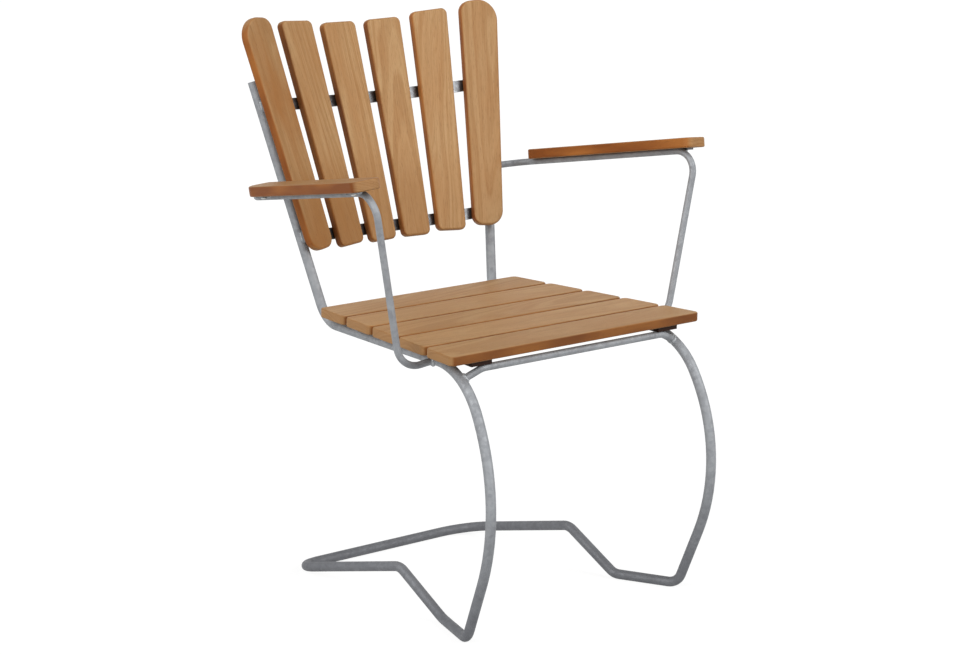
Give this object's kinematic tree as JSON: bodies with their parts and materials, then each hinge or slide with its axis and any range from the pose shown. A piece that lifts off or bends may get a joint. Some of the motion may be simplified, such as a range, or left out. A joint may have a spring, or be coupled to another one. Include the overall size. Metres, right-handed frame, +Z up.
{
  "type": "cantilever garden armchair",
  "caption": "Garden armchair with a bent steel rod cantilever frame, cross boards for the seat, a curved fan of back boards and wooden armrests.",
  "frame": {"origin": "on the floor, under the middle of the overall length and width", "axes": "+Z up; the chair faces -Y; +X is the sitter's left; the chair is mirror symmetric about X = 0"},
  "size_m": [0.736, 0.6121, 0.9176],
  "materials": {
    "galvanised_steel": "hot-dip galvanised, dull, lightly spangled",
    "oiled_teak": "planed and oiled",
    "dark_hardwood": "dark stained",
    "zinc_plated_screw": "zinc plated"
  },
  "bodies": {
    "root": {"main_frame": "galvanised_steel", "arm_rod_left": "galvanised_steel", "arm_rod_right": "galvanised_steel", "front_cross_rod": "galvanised_steel", "rear_cross_rod": "galvanised_steel", "lower_back_bar": "galvanised_steel", "upper_back_bar": "galvanised_steel", "armrest_lugs_left": "galvanised_steel", "armrest_lugs_right": "galvanised_steel", "seat_slat_1": "oiled_teak", "seat_slat_2": "oiled_teak", "seat_slat_3": "oiled_teak", "seat_slat_4": "oiled_teak", "seat_slat_5": "oiled_teak", "back_slat_1": "oiled_teak", "back_slat_2": "oiled_teak", "back_slat_3": "oiled_teak", "back_slat_4": "oiled_teak", "back_slat_5": "oiled_teak", "back_slat_6": "oiled_teak", "armrest_left": "oiled_teak", "armrest_right": "oiled_teak", "seat_batten_left": "dark_hardwood", "seat_batten_right": "dark_hardwood", "back_slat_screws": "zinc_plated_screw", "seat_slat_screws": "zinc_plated_screw", "batten_screws": "zinc_plated_screw", "armrest_screws_left": "zinc_plated_screw", "armrest_screws_right": "zinc_plated_screw"}
  },
  "joints": []
}
